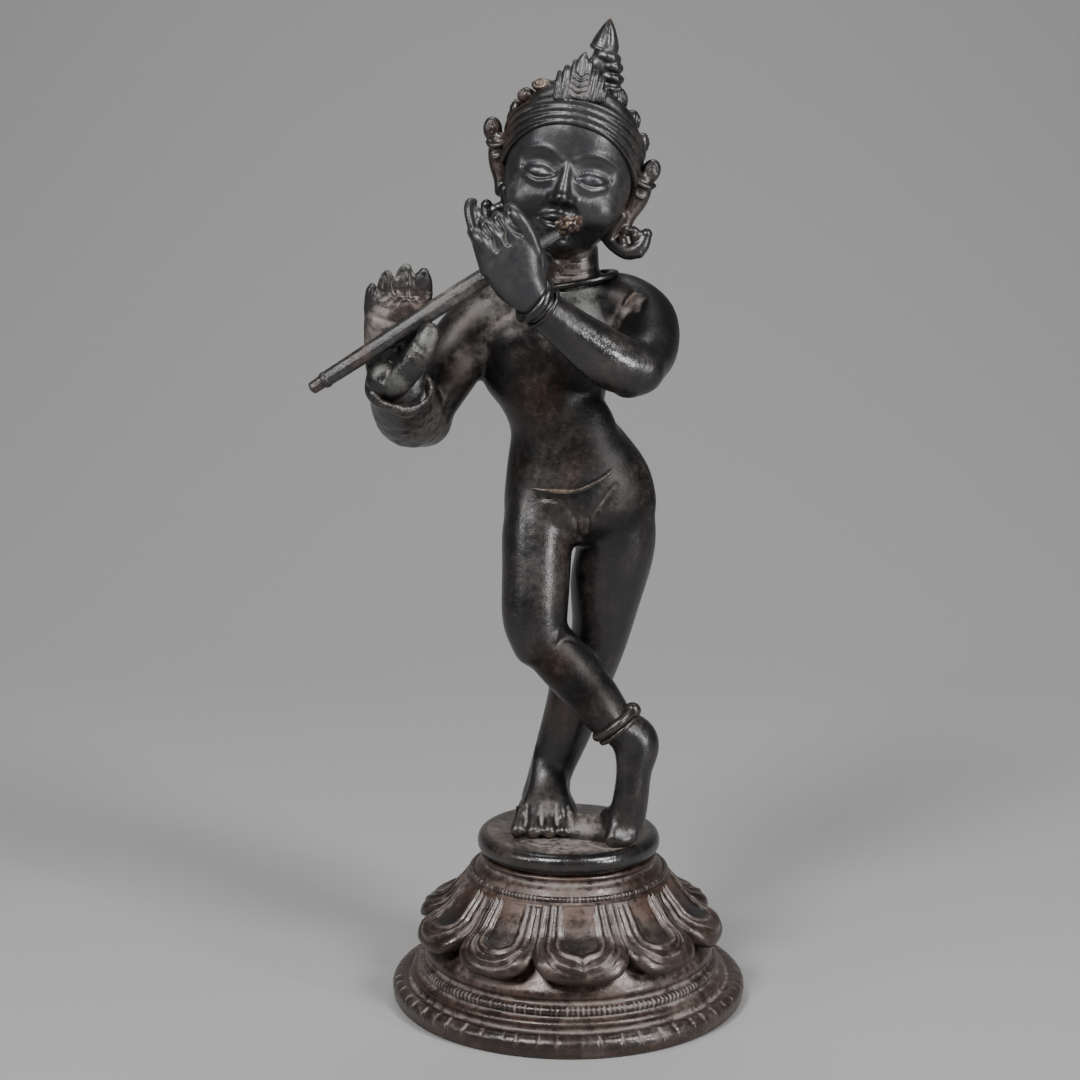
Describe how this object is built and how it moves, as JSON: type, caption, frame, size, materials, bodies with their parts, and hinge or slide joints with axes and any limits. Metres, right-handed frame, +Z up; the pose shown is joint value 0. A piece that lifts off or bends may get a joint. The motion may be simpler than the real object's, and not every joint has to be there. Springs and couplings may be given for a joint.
{
  "type": "krishna figure",
  "caption": "Standing bronze flute player with crossed legs, raised hands, crown and topknot, on a round foot disc over a flared lotus pedestal.",
  "frame": {"origin": "centre of the pedestal's flat underside", "axes": "+Z up; -Y is the way the figure faces; +X is towards the figure's left hand side, the right-hand side of a front view"},
  "size_m": [0.1328, 0.1124, 0.3058],
  "materials": {
    "figure_bronze": "cast bronze with a dark brown to black patina, polished by handling, with brown dust in the hollows",
    "pedestal_bronze": "cast bronze with a dark brown patina, browner and duller than the figure, worn glossy on the raised edges"
  },
  "bodies": {
    "root": {"krishna_figure": "figure_bronze", "lotus_pedestal": "pedestal_bronze"}
  },
  "joints": []
}
